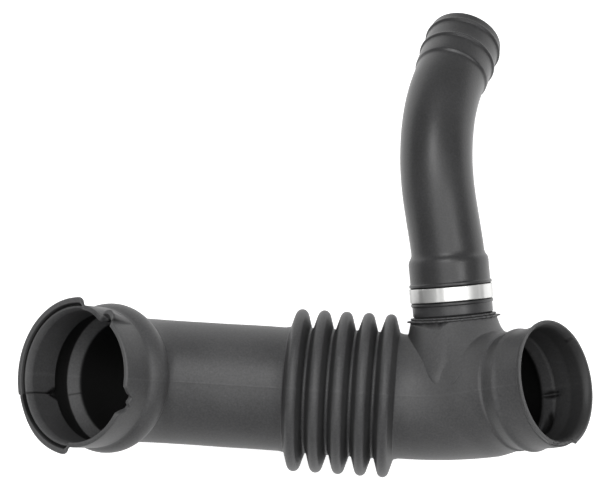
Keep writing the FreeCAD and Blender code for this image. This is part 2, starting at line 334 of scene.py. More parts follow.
# Bent line of the duct, from the left mouth to the right mouth
left_corner = -X * left_reach
right_corner = X * right_reach
left_turn = math.acos(-left_way[0])
right_turn = math.acos(right_way[0])
left_setback = left_bend_radius * math.tan(left_turn / 2)
right_setback = right_bend_radius * math.tan(right_turn / 2)
duct_line = bent_line(
    np.array([left_corner + left_way * (left_setback + left_cup_length), left_corner, right_corner,
              right_corner + right_way * (right_setback + right_cup_length)]),
    np.array([left_bend_radius, right_bend_radius]), Z, 1)
tube_station = duct_line[2][0]
right_bend_station = duct_line[3][0]
right_cup_station = duct_line[4][0]
bellows_station = tube_station + left_reach - left_setback

# Angles round the cups, in degrees from the near side through the branch hose's side
left_far_seam = 196.6
flange_starts = (85.4, 87.2)
flange_ends = (266.0, 267.8)
right_far_seam = 187
slot_angle = 224
flare_pit = 131

# Radii in the cups, the right seat's sag, and how many rows its flare has outside and up to its lip
left_socket_radius = 35.4
left_seat_radius = 38.5
right_socket_radius = 30.1
seat_sag = 1.4
flare_outer_rows = 13
flare_lip_rows = 17

# Bends of the left rim's edge, its drops towards the bulge, and cuts in the right flare, by angle
left_rim_bends = [(0, 0), (49.8, 0), (51.0, 2.4), (54, 3.9), (58, 4.3), (60.5, 3.2), (62.0, 1.4),
                  (63.0, -2.6), (66, -2.2), (72, -1.0), (80, 0), (360, 0)]
left_rim_drops = [(0, 0), (61.8, 0), (62.2, 7.0), (63.2, 7.0), (63.8, 1.2), (70, 0.6), (80, 0), (329, 0),
                  (331, 1.6), (333, 4.5), (334.5, 6.2), (337, 6.6), (339, 5.2), (341, 5.0), (343, 5.8),
                  (345.4, 6.2), (347, 4.0), (350, 2.0), (353.5, 0), (360, 0)]
right_rim_cuts = [(0, 0), (249, 0), (250.5, -0.3), (252.5, -0.3), (254, 1.5), (257.5, 2.2), (260, 1.5),
                  (264, 2.3), (267, 1.7), (271, 2.1), (274, 1.4), (278, 2.2), (282, 1.6), (286, 2.0),
                  (288.5, 1.3), (290, -0.3), (292, -0.2), (294, 0), (360, 0)]


def left_rim(angle):
    """Mouth of the left cup from its socket wall round the rim to the clamp seat, for each angle.

    Two outlines of place from the bend and radius are mixed by angle: a plain thick rim on the near
    half, and a lead-in, groove and outward lip on the far half. Past the split the edge is bent out into
    a hook, and before it bent in. Where the rim is torn, its places are drawn back towards the bulge.
    """
    socket, seat = left_socket_radius, left_seat_radius
    far = softened([(15, socket, 0), (32.0, socket, 0.5), (35.8, 37.0, 0.4), (35.9, 37.8, 0.3),
                    (34.4, 38.3, 0.3), (34.4, 39.0, 0.3), (36.9, 39.7, 0.4), (36.9, 42.6, 1.0),
                    (34.2, 43.0, 1.0), (33.6, seat, 0.8), (20, seat, 0)], 4)
    near = softened([(15, socket, 0), (32.0, socket, 0.3), (34.3, 35.45, 0.3), (35.1, 35.8, 0.3),
                     (35.4, 36.3, 0.2), (35.5, 36.8, 0.2), (35.5, 37.3, 0.2), (35.4, 37.8, 0.2),
                     (35.0, 38.4, 0.3), (33.6, seat, 0.3), (20, seat, 0)], 4)
    degrees = np.degrees(angle)
    is_far = smooth_step(degrees, *flange_starts) * (1 - smooth_step(degrees, *flange_ends))
    mixed = near[:, None] + (far - near)[:, None] * is_far[None, :, None]
    share = np.linspace(0, 1, 13)[:-1, None, None]
    mixed = np.concatenate([mixed[0] + (mixed[1] - mixed[0]) * share, mixed[1:]])
    place, radius = mixed[..., 0], mixed[..., 1]
    drop = np.interp(degrees, *np.transpose(left_rim_drops))
    seam = hump(degrees, left_far_seam, 1.2)
    narrowing = np.clip((22 - place) / 7, 0.05, 1)
    pinch = hump((degrees - left_far_seam) / narrowing, 0, 7.5) * (place < 22)
    bend = np.interp(degrees, *np.transpose(left_rim_bends)) * smooth_step(place, 27, 34.5)
    clear_of_start = smooth_step(degrees, flange_starts[0], 91.5)
    clear_of_end = 1 - smooth_step(degrees, 261.7, flange_ends[1])
    corner = 1 - clear_of_start * clear_of_end
    past_seam = smooth_step(degrees, left_far_seam - 0.3, left_far_seam + 0.5)
    mismatch = past_seam * (1 - smooth_step(degrees, 204, 240))
    is_lip = smooth_step(radius, 39.0, 41.0)
    radius = (radius + 0.5 * seam * (radius < 38) + 2.6 * pinch + bend
              - (0.9 * mismatch + 2.2 * corner * corner * is_far) * is_lip)
    place = place - 0.6 * seam * is_lip
    place = np.where(place > 18, 18 + (place - 18) * (1 - drop / 17.5), place)
    return left_cup_length - place, radius


def right_rim(angle):
    """Flared mouth of the right cup from its clamp seat round the lip to the socket wall.

    The flare's radius is drawn in where its edge is cut away at the bottom, and a little at the top. The
    seat sags by a share of the angle's sine, and the lip has one shallow pit.
    """
    keys = softened([(36, 32.7, 0), (40.8, 32.6, 1.5), (42.6, 33.4, 0.9), (43.6, 34.3, 0.5),
                     (44.5, 34.4, 0.4), (44.6, 33.0, 0.4), (43.6, 31.5, 0.8), (41.0, 30.2, 1.2),
                     (34, right_socket_radius, 0)], 4)
    degrees = np.degrees(angle)
    cut = np.interp(degrees, *np.transpose(right_rim_cuts)) + 0.7 * hump(degrees, 88, 60)
    is_outer = (np.arange(len(keys)) < flare_outer_rows)[:, None]
    on_seat = is_outer * (1 - smooth_step(keys[:, :1], 40.5, 43.4))
    on_flare = smooth_step(keys[:, 1:], 31.6, 33.8) * smooth_step(keys[:, :1], 41.5, 43.5)
    pit = hump(degrees, flare_pit, 4.2) * smooth_step(keys[:, :1], 42.0, 43.2) * (keys[:, 1:] < 33.4)
    place = keys[:, :1] - 0.4 * on_flare * cut - 0.5 * pit
    return right_cup_station + place, keys[:, 1:] - on_flare * cut - seat_sag * np.sin(angle) * on_seat


def duct_outside():
    """Outer wall between the two rims: left seat, bulge, bend, bellows, right bend, crest and seat."""
    seat = left_seat_radius
    left = np.concatenate([[(18.5, seat), (17, seat)],
                           arc_through((17, seat), (10, 41.5), (2.4, 39.2), 12)[:-1]])
    foot = softened([(2.9, 39.5, 0), (1.8, 38.7, 0.9), (-0.6, 35.1, 2.6), (-6, tube_radius, 0)], 6)
    left = np.concatenate([left, foot]) * [-1, 1] + [left_cup_length, 0]
    folds = bellows_edge(crest_radius, valley_radius, crest_round, valley_round, 6) + [bellows_station, 0]
    neck = softened([(0, tube_radius, 0), (4, 34.6, 2), (16.6, 32.6, 0.8), (17.4, 31.7, 0.4),
                     (18.6, 31.7, 0.5), (25.6, 34.0, 1.0), (28.0, 33.0, 1.0), (33, 32.7, 0)], 5)
    neck = neck + [right_cup_station, 0]
    tube_end, bend_start = (folds[0, 0] - 2.5, tube_radius), (folds[-1, 0] + 2.0, tube_radius)
    return np.concatenate([divided(np.concatenate([left, [tube_end]]), 4.5), folds,
                           divided(np.concatenate([[bend_start], neck]), 4.5)])


def duct_inside():
    """Inner wall from the right socket back to the left one: step, throat, bellows, ledge and hollow."""
    socket = right_socket_radius
    right = divided(np.array([(32, socket), (24.4, socket), (23.8, 30.12), (22.9, 30.12), (22.2, 29.7),
                              (15, 29.4), (11, 31.4)]), 1.3)
    right = np.concatenate([right, [(0, tube_bore)]]) + [right_cup_station, 0]
    folds = bellows_edge(crest_radius - bellows_wall, valley_radius - bellows_wall + 0.8,
                         crest_round - bellows_wall, valley_round + bellows_wall, 4)
    folds = folds[::-1] + [bellows_station, 0]
    ledge = softened([(-6, tube_bore, 0), (-1.2, tube_bore, 0.8), (1.8, 37.0, 0.4), (2.6, 38.0, 0.4),
                      (5, 38.4, 0)], 4)
    hollow = softened([(9, 38.5, 0), (13.4, 38.3, 0.8), (14.2, 35.5, 0.4), (14.6, left_socket_radius, 0)], 4)
    left = np.concatenate([ledge, hollow]) * [-1, 1] + [left_cup_length, 0]
    throat = np.array([(right_cup_station - 6, tube_bore), (folds[0, 0] + 1.5, tube_bore)])
    tube_start = (folds[-1, 0] - 1.5, tube_bore)
    return np.concatenate([right, divided(throat, 6), folds,
                           divided(np.concatenate([[tube_start], left]), 5)])


def duct_shell(material):
    """The duct's wall: rims, outside and inside joined into one closed outline and carried round.

    The parting line is a low ridge at the front and back. Inside the right cup the wall is pinched
    along the parting line, and slotted at the step, and both are darkened with painted shade. Inside the
    left cup the edge of the socket wall is opened at the seam. The masks mark seams, pale rim edges with
    painted highlights, and painted shade.
    """
    crowded = [(0, 1.2, 2.2), (58, 9, 2.6), (86.5, 2, 2.5), (left_far_seam, 2.5, 2.5), (267, 2, 2.5),
               (341, 11, 1.4), (252, 2, 1.0), (290, 2, 1.0), (right_far_seam, 3, 1.6)]
    angle = np.radians(spaced_angles(230, crowded))
    degrees = np.degrees(angle)[None, :]
    outside, inside = duct_outside(), duct_inside()
    left, right = left_rim(angle), right_rim(angle)
    outer, inner = ([np.repeat(column[:, None], len(angle), axis=1) for column in edge.T]
                    for edge in (outside, inside))
    station, radius = (np.concatenate(rows) for rows in zip(left, outer, right, inner))
    first, last = len(left[0]), len(left[0]) + len(outside)
    inner_first = last + len(right[0])
    seam = np.maximum(hump(degrees, 0, 1.1), np.maximum(hump(degrees, 360, 1.1), hump(degrees, 180, 1.1)))
    radius[first:last] += ripple(station[first:last], angle[None, :], 0.12) - 0.3 + 0.16 * seam
    on_cup = smooth_step(station[first:last] - right_cup_station, 11, 18)
    radius[first:last] -= seat_sag * np.sin(angle) * on_cup
    on_right = station[inner_first:] - right_cup_station
    on_left = left_cup_length - station[inner_first:]
    eye = 1 - 0.9 * hump(degrees, right_far_seam, 1.8)
    pinch = hump(degrees, right_far_seam, 5.5) * eye * hump(on_right, 20.5, 9)
    slot = hump(degrees, slot_angle, 26) * hump(on_right, 20.8, 4.0)
    is_edge = smooth_step(on_left, 12.5, 14.2) * (radius[inner_first:] < 36.5)
    opened = hump(degrees, left_far_seam, 7.5) * is_edge
    radius[inner_first:] += 1.6 * pinch + 1.6 * slot + 2.6 * opened
    # Painted shade: the pinch and the slot are darkened to near black.
    pinch_and_slot_shade = np.maximum(smooth_step(pinch, 0.12, 0.4), smooth_step(slot, 0.15, 0.4))
    points = carried(duct_line, station, radius, angle[None, :])
    masks = duct_masks(station, radius, degrees, first, last, inner_first)
    masks["seam"] = np.broadcast_to(seam, radius.shape)
    masks["painted_shade"][inner_first:] = np.maximum(masks["painted_shade"][inner_first:], pinch_and_slot_shade)
    return add_piece("duct_shell", points.reshape(-1, 3), grid_faces(*radius.shape), material,
                     "main_hose", masks)


def duct_masks(station, radius, degrees, first, last, inner_first):
    """Masks over the duct's grid: painted shade, and pale rim edges with painted highlights.

    The shade is 1 deep in the folds and bores, and also darkens the left flange's groove, seam crease
    and hook split, the right socket and the inside of the flare. The pale mask is 1 on the rims' edges,
    and holds painted highlights on the near shoulder of the left bulge, more weakly along the near
    parting line, and on the bend beside the tee.
    """
    painted_shade = np.zeros_like(radius)
    pale_edge_and_highlight = np.zeros_like(radius)
    in_bellows = hump(station[first:last], bellows_station, 34) > 0
    rise = (radius[first:last] - valley_radius) / (crest_radius - valley_radius)
    # Painted shade on the lower flanks of the bellows' folds.
    painted_shade[first:last] = in_bellows * smooth_step(rise, 0.0, 0.12) * (1 - smooth_step(rise, 0.45, 0.9))
    place = left_cup_length - station[:first]
    far = smooth_step(degrees, 86.5, 88) * (1 - smooth_step(degrees, 265, 266.5))
    in_groove = smooth_step(radius[:first], 37.8, 38.2) * (1 - smooth_step(radius[:first], 39.4, 39.8))
    groove = far * in_groove * smooth_step(place, 33.9, 34.3)
    seam = hump(degrees, left_far_seam, 1.4) * (place > 13) * (radius[:first] < 38.2)
    arrow = smooth_step(radius[:first], 35.5, 36.0) * (place < 20.5) * hump(degrees, left_far_seam, 12)
    split = smooth_step(place, 24, 28) * np.maximum(hump(degrees, 62.6, 0.9), hump(degrees, 50.6, 1.2))
    # Painted shade in the left cup: a little on its inner wall, and darker in the flange's groove, along the
    # far seam's crease, in the pinch's arrow and in the split under the hook.
    painted_shade[:first] = np.maximum.reduce([0.1 * (radius[:first] < 36), groove, seam, 1.5 * arrow, split])
    pale_edge_and_highlight[:first] = smooth_step(place, 34.9, 35.4) * smooth_step(radius[:first], 35.4, 36.2)
    # Painted highlights on the near side: a pale band on the left bulge's shoulder, and a weaker one just
    # above the parting line.
    shoulder = left_cup_length - station[first:last]
    front = hump((degrees + 180) % 360 - 180, 12, 65)
    above_seam = smooth_step(degrees, 1.5, 2.5) * (1 - smooth_step(degrees, 14, 30)) * (1 - in_bellows)
    pale_edge_and_highlight[first:last] = np.maximum(hump(shoulder, 3.2, 2.8) * front, 0.4 * above_seam)
    # Painted highlight on the near side of the bend beside the tee.
    beside_tee = smooth_step(station[first:last], right_bend_station - 4, right_bend_station + 6) * front
    body = 1 - smooth_step(station[first:last] - right_cup_station, 8, 17)
    pale_edge_and_highlight[first:last] = np.maximum(pale_edge_and_highlight[first:last], 0.7 * beside_tee) * body
    on_left = left_cup_length - station[inner_first:]
    on_right = station[inner_first:] - right_cup_station
    # Painted shade on the inner wall: black through the bores except at the left ledge, fading out in the
    # right cup's throat, grey on the right socket past its step, and a dark line where the far seam crosses
    # the ledge.
    deep = smooth_step(on_left, -1.8, -1.0) * (1 - smooth_step(on_left, 2.2, 2.6))
    bore = np.where(on_right > 0, 1 - smooth_step(on_right, 13.0, 15.0), 1 - deep)
    ledge_seam = hump(degrees, left_far_seam, 1.6) * (on_left > -3) * (on_left < 14)
    socket = np.where(on_right > 15, 0.45 * smooth_step(on_right, 22, 23.5), bore)
    painted_shade[inner_first:] = np.maximum(socket, ledge_seam)
    rim_radius = radius[last:inner_first]
    rim_place = station[last:inner_first] - right_cup_station
    # Painted shade inside the flare's lip, darker in its pit.
    inside_lip = (np.arange(len(rim_radius)) >= flare_lip_rows)[:, None] * (rim_radius < 32.8)
    pit = hump(degrees, flare_pit, 4.2) * hump(rim_place, 42.0, 2.6) * inside_lip
    painted_shade[last:inner_first] = np.maximum(0.7 * inside_lip, smooth_step(pit, 0.08, 0.3))
    pale_edge_and_highlight[last:inner_first] = smooth_step(rim_radius, 33.2, 34.0) * smooth_step(rim_place, 43.4, 44.2)
    return {"painted_shade": np.clip(painted_shade, 0, 1), "pale_edge_and_highlight": pale_edge_and_highlight}


def duct_depth(points):
    """Station along the duct's right bend, and the vector out from its line, for points near it.

    The turn about the bend's hub is kept within the bend, and the rest of the way goes along the run.
    """
    start, first, way, _, axis, radius = duct_line[3]
    lift = unit(np.cross(axis, way))
    away = points - first
    turn = np.clip(np.arctan2(away @ way, radius - away @ lift), 0, right_turn)
    hub = first + lift * radius
    centre = hub + swung(np.broadcast_to(first - hub, points.shape), axis, turn)
    here = swung(np.broadcast_to(way, points.shape), axis, turn)
    past = np.sum((points - centre) * here, axis=-1)
    return start + radius * turn + past, points - centre - here * past[..., None]


def tee_outside(angle, ring):
    """Outside of the tee's neck: the cone from the collar down, and its run onto the duct's wall.

    Each angle's straight line of the cone goes from the collar towards the wide circle inside the
    duct, and the place where it meets the duct's wall is found by halving. A quadratic curve leads it
    onto the wall there. The curve's reach changes round the neck: a crease on the left, a long soft
    blend at the front and a shorter one on the right. At the front its control point is moved up the
    line, so that the curve ends along the rounded wall.
    """
    high_middle = stub_root + stub_way * neck_top
    low_middle = stub_root + Z * tee_depth
    lean = unit(high_middle - low_middle)
    low_side = unit(X - lean * (X @ lean))
    low = low_middle + tee_radius * (np.cos(angle)[:, None] * low_side
                                     + np.sin(angle)[:, None] * np.cross(lean, low_side))
    high = high_middle + stub_radius * ring
    wall_edge = duct_outside().T
    wall_edge[1] = np.minimum(wall_edge[1], tube_radius)
    near, far = np.zeros(len(angle)), np.ones(len(angle))
    for _ in range(40):
        middle = (near + far) / 2
        station, radial = duct_depth(high + (low - high) * middle[:, None])
        inside = np.linalg.norm(radial, axis=1) < np.interp(station, *wall_edge)
        far = np.where(inside, middle, far)
        near = np.where(inside, near, middle)
    spread = np.arange(-5, 6)
    far = np.average([np.roll(np.minimum(far, tee_end), k) for k in spread], axis=0,
                     weights=6 - np.abs(spread))
    meet = high + (low - high) * far[:, None]
    normal = unit(duct_depth(meet)[1])
    fall = unit(low - high)
    outward = unit(fall - normal * np.sum(fall * normal, axis=1, keepdims=True))
    rightness = np.cos(angle)
    reach = 1.2 + 19.0 * smooth_step(rightness, -0.5, 0.0) - 12.0 * smooth_step(rightness, 0.05, 0.6)
    on_right = smooth_step(rightness, 0.05, 0.5)
    soft = smooth_step(rightness, -0.45, 0.0) * (1 - on_right)
    length = np.linalg.norm(meet - high, axis=1)
    climb = np.minimum(reach, 0.92 * length)
    before = meet + unit(high - meet) * climb[:, None]
    crown = reach ** 2 / (2 * tube_radius) * soft
    steep = np.clip(-np.sum(fall * normal, axis=1), 0.25, 1)
    knee = meet + unit(high - meet) * np.minimum(crown / steep, 0.6 * climb)[:, None]
    after = meet + outward * reach[:, None]
    station, radial = duct_depth(after)
    wall = np.linalg.norm(radial, axis=1)
    sink = wall - np.interp(station, *wall_edge) + 0.6 - 0.4 * soft + 1.4 * on_right
    after = after - radial * (sink / wall)[:, None]
    t = np.linspace(0, 1, 14)[:, None, None]
    blend = (1 - t) ** 2 * before + 2 * t * (1 - t) * knee + t * t * after
    t = np.linspace(0, 1, 6)[:-1, None, None]
    cone = high + (before - high) * t
    return np.concatenate([cone, blend])


def tee_neck(material):
    """Tapered neck of the tee with its collar rings and the spigot inside the cuff.

    The rings are an outline of station along the stub and radius, carried round it. Their radius has a
    ragged edge of added sine waves, and a point of flash at the parting line. The neck's inner wall is
    its outside moved in along the ring.
    """
    angle = np.arange(tee_columns) / tee_columns * 2 * math.pi
    side = unit(X - stub_way * (X @ stub_way))
    ring = np.cos(angle)[:, None] * side + np.sin(angle)[:, None] * np.cross(stub_way, side)
    outside = tee_outside(angle, ring)
    spigot_end = collar_top + spigot_length
    rings = softened([(neck_top + 26, spigot_bore, 0), (spigot_end, spigot_radius, 0.2),
                      (collar_top, spigot_radius, 0.1), (collar_top - 0.2, 23.6, 0.15),
                      (collar_top - 1.0, 23.7, 0.15), (collar_top - 1.3, 23.0, 0.1),
                      (collar_top - 1.5, 24.9, 0.25), (collar_top - 2.3, 25.1, 0.3),
                      (collar_top - 2.6, 24.2, 0.2), (neck_top - 0.4, stub_radius, 0)], 4)
    ragged = 0.5 * (np.sin(23 * angle + 0.6) + np.sin(37 * angle + 2.0) + np.sin(58 * angle)) / 3 - 0.12
    flash = 0.9 * hump(np.abs(np.cos(angle)), 1, 0.006)
    rise = np.where(rings[:, 1:] > 23.2, ragged[None, :], 0)
    rise = rise + np.where(rings[:, 1:] > 24.6, flash[None, :], 0)
    collar = stub_root + stub_way * rings[:, :1, None] + ring * (rings[:, 1:] + rise)[..., None]
    bore = np.stack([stub_root + stub_way * place + ring * spigot_bore
                     for place in (spigot_root, spigot_end)])
    points = np.concatenate([bore, collar, outside, outside[::-1] - ring * tee_wall])
    collar_first = len(bore)
    neck_first = collar_first + len(collar)
    neck_last = neck_first + len(outside)
    painted_shade = np.zeros(points.shape[:2])
    # Painted shade: a dark line in the collar's groove, darker on the neck's left side towards the bellows,
    # and black over the neck's inner wall.
    painted_shade[collar_first:neck_first] = 0.85 * hump(rings[:, 1:], 23.0, 0.6)
    painted_shade[neck_first:neck_last] = 0.5 * smooth_step(-np.cos(angle), 0.55, 0.95)
    painted_shade[neck_last:] = 1
    pale_edge_and_highlight = np.zeros_like(painted_shade)
    pale_edge_and_highlight[collar_first:neck_first] = smooth_step(rings[:, 1:], 24.5, 24.9) * smooth_step(ragged, -0.1, 0.2)
    # Painted highlight: the whole neck is made paler.
    pale_edge_and_highlight[neck_first:neck_last] = 0.7
    masks = {"painted_shade": painted_shade, "pale_edge_and_highlight": pale_edge_and_highlight, "seam": np.zeros_like(painted_shade)}
    return add_piece("tee_neck", points.reshape(-1, 3), grid_faces(len(points), tee_columns), material,
                     "main_hose", masks)


# Bent line of the branch hose, from the collar to its open end
stub_root = X * stub_place
stub_way = heading(stub_heading, stub_rise)
run_way = heading(run_heading, run_rise)
end_way = heading(end_heading, end_rise)
branch_corner = stub_root + stub_way * first_corner
branch_corner_two = branch_corner + run_way * second_corner
end_setback = second_bend_radius * math.tan(math.acos(run_way @ end_way) / 2)
branch_line = bent_line(
    np.array([stub_root + stub_way * collar_top, branch_corner, branch_corner_two,
              branch_corner_two + end_way * (end_setback + end_cuff_length)]),
    np.array([first_bend_radius, second_bend_radius]), unit(Z - stub_way * (Z @ stub_way)), 0)
end_cuff_station = branch_line[4][0]


def branch_tube(material):
    """The branch hose's wall: ribbed lower cuff, bent tube, ribbed end cuff, and its hollow.

    One closed outline of station and radius is carried round the bent line.
    """
    lower = softened([(0, 19.8, 0), (0, 21.6, 0.2), (0.8, 22.4, 0.3), (5.9, 22.4, 0.2), (6.2, 23.0, 0.3),
                      (7.6, 23.0, 0.3), (7.9, 22.4, 0.2), (16.4, 22.4, 0.2), (16.8, 23.1, 0.3),
                      (18.2, 23.1, 0.3), (18.6, 22.4, 0.2), (30.9, 22.4, 1.6), (33.9, 20.4, 1.6),
                      (40, 20.35, 0)], 4)
    upper = softened([(0, 20.35, 0), (3.6, 20.35, 0.8), (5.1, 21.4, 0.6), (16.2, 21.4, 0.3),
                      (16.8, 22.4, 0.4), (18.0, 22.4, 0.4), (18.6, 21.4, 0.3), (28.5, 21.4, 0.3),
                      (29.1, 22.4, 0.4), (30.3, 22.4, 0.4), (30.9, 21.4, 0.3), (35.1, 21.4, 0.4),
                      (35.9, 20.6, 0.3), (35.9, 19.2, 0.3), (35, 18.2, 0.3), (12, 18.2, 0.5),
                      (10, branch_bore, 0)], 4)
    outside = divided(np.concatenate([lower, upper + [end_cuff_station, 0]]), 2.6)
    inside = divided(np.array([(end_cuff_station, branch_bore), (33.6, branch_bore), (27, 19.8),
                               (0.2, 19.8)]), 5)
    edge = np.concatenate([outside, inside])
    outer = len(outside)
    angle = np.arange(branch_columns) / branch_columns * 2 * math.pi
    station, radius = edge[:, :1], edge[:, 1:].repeat(branch_columns, 1)
    sink = np.zeros_like(radius)
    sink[:outer] = 0.08 - ripple(station[:outer], angle[None, :], 0.08)
    points = carried(branch_line, station, radius - sink, angle[None, :])
    painted_shade = np.zeros_like(radius)
    # Painted shade: black over the hollow, and dark lines in the gaps either side of the band.
    painted_shade[outer:] = 1
    beside_band = np.maximum(hump(station[:outer], 16.6, 0.9), hump(station[:outer], 8.0, 0.7))
    painted_shade[:outer] = smooth_step(beside_band, 0.1, 0.4) * (edge[:outer, 1:] < 22.95)
    pale_edge_and_highlight = np.zeros_like(radius)
    # Painted light: the lower cuff between the collar and the band is made paler.
    pale_edge_and_highlight[:outer] = (0.9 * smooth_step(station[:outer], 0.3, 0.8)
                    * (1 - smooth_step(station[:outer], 5.6, 6.0)))
    masks = {"painted_shade": painted_shade, "pale_edge_and_highlight": pale_edge_and_highlight, "seam": np.zeros_like(radius)}
    return add_piece("branch_tube", points.reshape(-1, 3), grid_faces(*radius.shape), material,
                     "branch_hose", masks)


def crimp_band(material):
    """The metal band: a thin closed outline whose outer radius dips to a flat under each crimping jaw."""
    count = 360
    angle = np.arange(count) / count * 2 * math.pi
    edge = softened([(4.0, band_bore + 0.02, 0), (0.1, band_bore + 0.02, 0.05), (0.0, band_radius, 0.35),
                     (band_width, band_radius, 0.35), (band_width - 0.1, band_bore + 0.02, 0.05),
                     (4.0, band_bore + 0.02, 0)], 6)[:-1]
    edge = divided(edge, 0.8)
    sector = 2 * math.pi / band_flats
    off = (angle - band_turn + sector / 2) % sector - sector / 2
    flat = (band_radius - band_flat_depth) / np.cos(off)
    outer = np.minimum(band_radius, flat)
    share = (edge[:, 1:] - band_bore) / (band_radius - band_bore)
    radius = band_bore + share * (outer[None, :] - band_bore)
    points = carried(branch_line, edge[:, :1] + band_start, radius, angle[None, :])
    # The band's mask is 1 at the middle of each flat, where the material paints a dark reflection.
    return add_piece("crimp_band", points.reshape(-1, 3), grid_faces(*radius.shape), material,
                     "crimp_ring", {"flat_dark_reflection": np.broadcast_to(hump(np.degrees(off), 0, 7.5), radius.shape)})


def new_group(name, inputs, outputs):
    """Empty shader node group with float sockets, and its input and output nodes."""
    group = bpy.data.node_groups.new(name, "ShaderNodeTree")
    for label, value in inputs:
        socket = group.interface.new_socket(label, in_out="INPUT", socket_type="NodeSocketFloat")
        socket.default_value = value
    for label in outputs:
        group.interface.new_socket(label, in_out="OUTPUT", socket_type="NodeSocketFloat")
    return group, group.nodes.new("NodeGroupInput"), group.nodes.new("NodeGroupOutput")


def math_node(tree, operation, first, second):
    """Math node of two values, each a socket or a number."""
    node = tree.nodes.new("ShaderNodeMath")
    node.operation = operation
    for place, value in enumerate((first, second)):
        if isinstance(value, (int, float)):
            node.inputs[place].default_value = value
        else:
            tree.links.new(value, node.inputs[place])
    return node.outputs[0]


def noise(tree, scale, detail, coordinates):
    """Noise value over object coordinates."""
    node = tree.nodes.new("ShaderNodeTexNoise")
    node.inputs["Detail"].default_value = detail
    tree.links.new(coordinates, node.inputs["Vector"])
    if isinstance(scale, (int, float)):
        node.inputs["Scale"].default_value = scale
    else:
        tree.links.new(scale, node.inputs["Scale"])
    return node.outputs["Fac"]


def moulded_skin_group():
    """Group for moulded rubber: fine grain, broad clouds of bloom, and sparse pale specks."""
    group, inlet, outlet = new_group("moulded_skin", [("Grain Scale", 900.0), ("Cloud Scale", 30.0)],
                                     ["Grain", "Cloud", "Speck"])
    spot = group.nodes.new("ShaderNodeTexCoord").outputs["Object"]
    grain = noise(group, inlet.outputs["Grain Scale"], 3.0, spot)
    cloud = noise(group, inlet.outputs["Cloud Scale"], 4.0, spot)
    speck = group.nodes.new("ShaderNodeMapRange")
    speck.inputs["From Min"].default_value = 0.66
    speck.inputs["From Max"].default_value = 0.74
    group.links.new(noise(group, 420.0, 2.0, spot), speck.inputs["Value"])
    group.links.new(grain, outlet.inputs["Grain"])
    group.links.new(cloud, outlet.inputs["Cloud"])
    group.links.new(speck.outputs["Result"], outlet.inputs["Speck"])
    return group


def mask_value(tree, label):
    """Value of one of the mesh's own masks."""
    node = tree.nodes.new("ShaderNodeAttribute")
    node.attribute_name = label
    return node.outputs["Fac"]


def rubber(name, dark, pale, roughness, specular, group):
    """Rubber material: colour from dark to pale by clouds, seams and specks, with grain in the bump.

    Pale rim edges and painted highlights lift the colour towards pale, and painted shade takes it to near
    black.
    """
    material = bpy.data.materials.new(name)
    material.use_nodes = True
    tree = material.node_tree
    shader = tree.nodes["Principled BSDF"]
    skin = tree.nodes.new("ShaderNodeGroup")
    skin.node_tree = group
    seam, pale_edge_and_highlight, painted_shade = (mask_value(tree, label) for label in ("seam", "pale_edge_and_highlight", "painted_shade"))
    mask = math_node(tree, "MULTIPLY", skin.outputs["Cloud"], 0.9)
    grain = math_node(tree, "SUBTRACT", skin.outputs["Grain"], 0.5)
    mask = math_node(tree, "ADD", mask, math_node(tree, "MULTIPLY", grain, 1.0))
    mask = math_node(tree, "ADD", mask, math_node(tree, "MULTIPLY", skin.outputs["Speck"], 0.25))
    mask = math_node(tree, "ADD", mask, math_node(tree, "MULTIPLY", seam, 0.25))
    # Pale rim edges and painted highlights.
    mask = math_node(tree, "ADD", mask, math_node(tree, "MULTIPLY", pale_edge_and_highlight, 0.5))
    colour = tree.nodes.new("ShaderNodeMix")
    colour.data_type = "RGBA"
    colour.inputs["A"].default_value = (*dark, 1)
    colour.inputs["B"].default_value = (*pale, 1)
    tree.links.new(mask, colour.inputs["Factor"])
    # Painted shade: the shade mask mixes the colour towards near black.
    shade = tree.nodes.new("ShaderNodeMix")
    shade.data_type = "RGBA"
    shade.inputs["B"].default_value = (0.004, 0.004, 0.004, 1)
    tree.links.new(colour.outputs["Result"], shade.inputs["A"])
    tree.links.new(painted_shade, shade.inputs["Factor"])
    tree.links.new(shade.outputs["Result"], shader.inputs["Base Color"])
    shader.inputs["Specular IOR Level"].default_value = specular
    gloss = tree.nodes.new("ShaderNodeMapRange")
    gloss.inputs["To Min"].default_value = roughness - 0.08
    gloss.inputs["To Max"].default_value = roughness + 0.08
    tree.links.new(skin.outputs["Cloud"], gloss.inputs["Value"])
    tree.links.new(gloss.outputs["Result"], shader.inputs["Roughness"])
    bump = tree.nodes.new("ShaderNodeBump")
    bump.inputs["Strength"].default_value = 0.25
    bump.inputs["Distance"].default_value = 0.0002
    tree.links.new(skin.outputs["Grain"], bump.inputs["Height"])
    tree.links.new(bump.outputs["Normal"], shader.inputs["Normal"])
    return material


